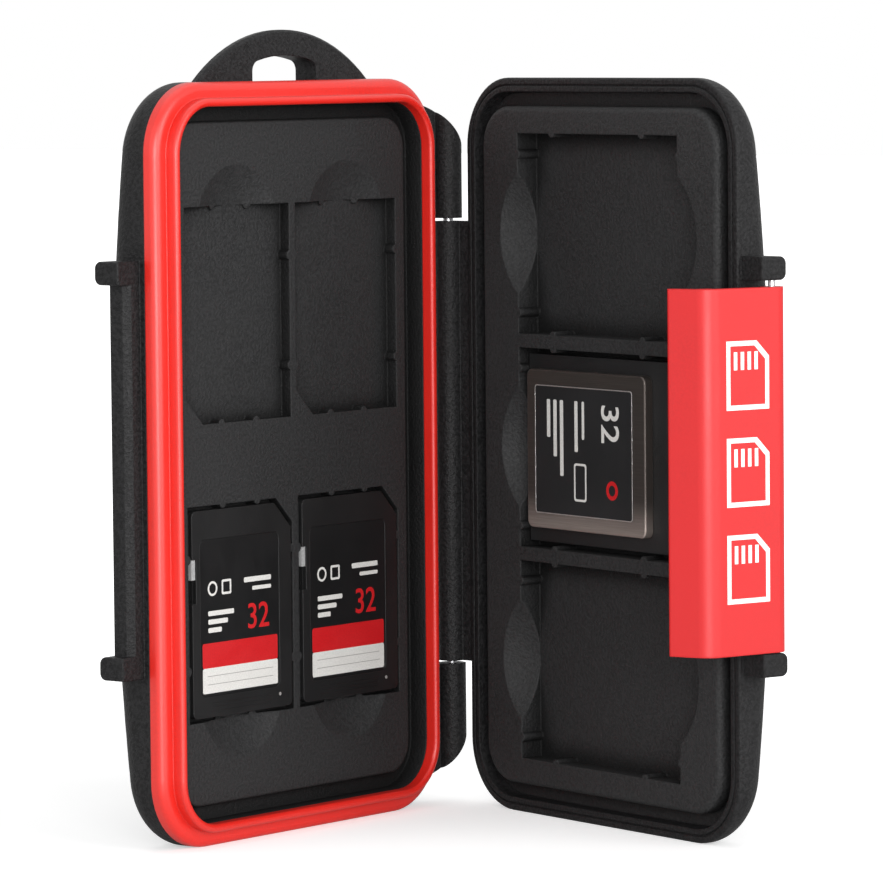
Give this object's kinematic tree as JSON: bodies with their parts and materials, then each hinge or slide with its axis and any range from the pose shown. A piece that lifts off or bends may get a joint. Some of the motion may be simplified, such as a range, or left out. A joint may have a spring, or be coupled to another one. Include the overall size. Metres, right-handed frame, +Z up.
{
  "type": "memory card case",
  "caption": "Hinged hard case for memory cards, standing open: sealed base tray with small-card pockets, lid with large-card pockets, swinging latch and cord loop.",
  "frame": {"origin": "on the floor, on the straight foot strip of the base shell's lower end, half way along it", "axes": "+Z up along the case's length; +Y out of the base's back; the base opens towards -Y and the hinge is on its +X side"},
  "size_m": [0.0853, 0.089, 0.1253],
  "materials": {
    "shell": "fine matt grain",
    "insert": "matt soft foam skin",
    "seal": "satin silicone",
    "latch": "satin moulded",
    "steel": "drawn wire",
    "card_plastic": "fine matt",
    "card_metal": "brushed dark grey",
    "card_lock": "matt",
    "board": "lacquered board",
    "small_label": "printed, satin",
    "large_label": "printed, satin"
  },
  "bodies": {
    "base": {"base_shell": "shell", "seal_gasket": "seal", "base_insert": "insert", "hinge_pin": "steel", "small_card_left_base": "card_plastic", "small_card_left_board": "board", "small_card_left_cover": "card_plastic", "small_card_left_label": "small_label", "small_card_right_base": "card_plastic", "small_card_right_board": "board", "small_card_right_cover": "card_plastic", "small_card_right_label": "small_label"},
    "lid": {"lid_shell": "shell", "lid_insert": "insert", "latch_pin": "steel", "large_card_back": "card_metal", "large_card_frame": "card_plastic", "large_card_board": "board", "large_card_top": "card_metal", "large_card_label": "large_label"},
    "latch": {"latch": "latch"},
    "left_lock": {"small_card_left_lock": "card_lock"},
    "right_lock": {"small_card_right_lock": "card_lock"}
  },
  "joints": [
    {"name": "lid_hinge", "type": "hinge", "parent": "base", "child": "lid", "pos_m": [0.0388, -0.0028, 0.0587], "axis": [0, 0, 1], "range_deg": [-73.2, 106.8]},
    {"name": "latch_hinge", "type": "hinge", "parent": "lid", "child": "latch", "pos_m": [0.02111, -0.07768, 0.0587], "axis": [0, 0, 1], "range_deg": [0, 105]},
    {"name": "left_lock_slide", "type": "slide", "parent": "base", "child": "left_lock", "axis": [0, 0, -1], "range_m": [0, 0.0036]},
    {"name": "right_lock_slide", "type": "slide", "parent": "base", "child": "right_lock", "axis": [0, 0, -1], "range_m": [0, 0.0036]}
  ]
}
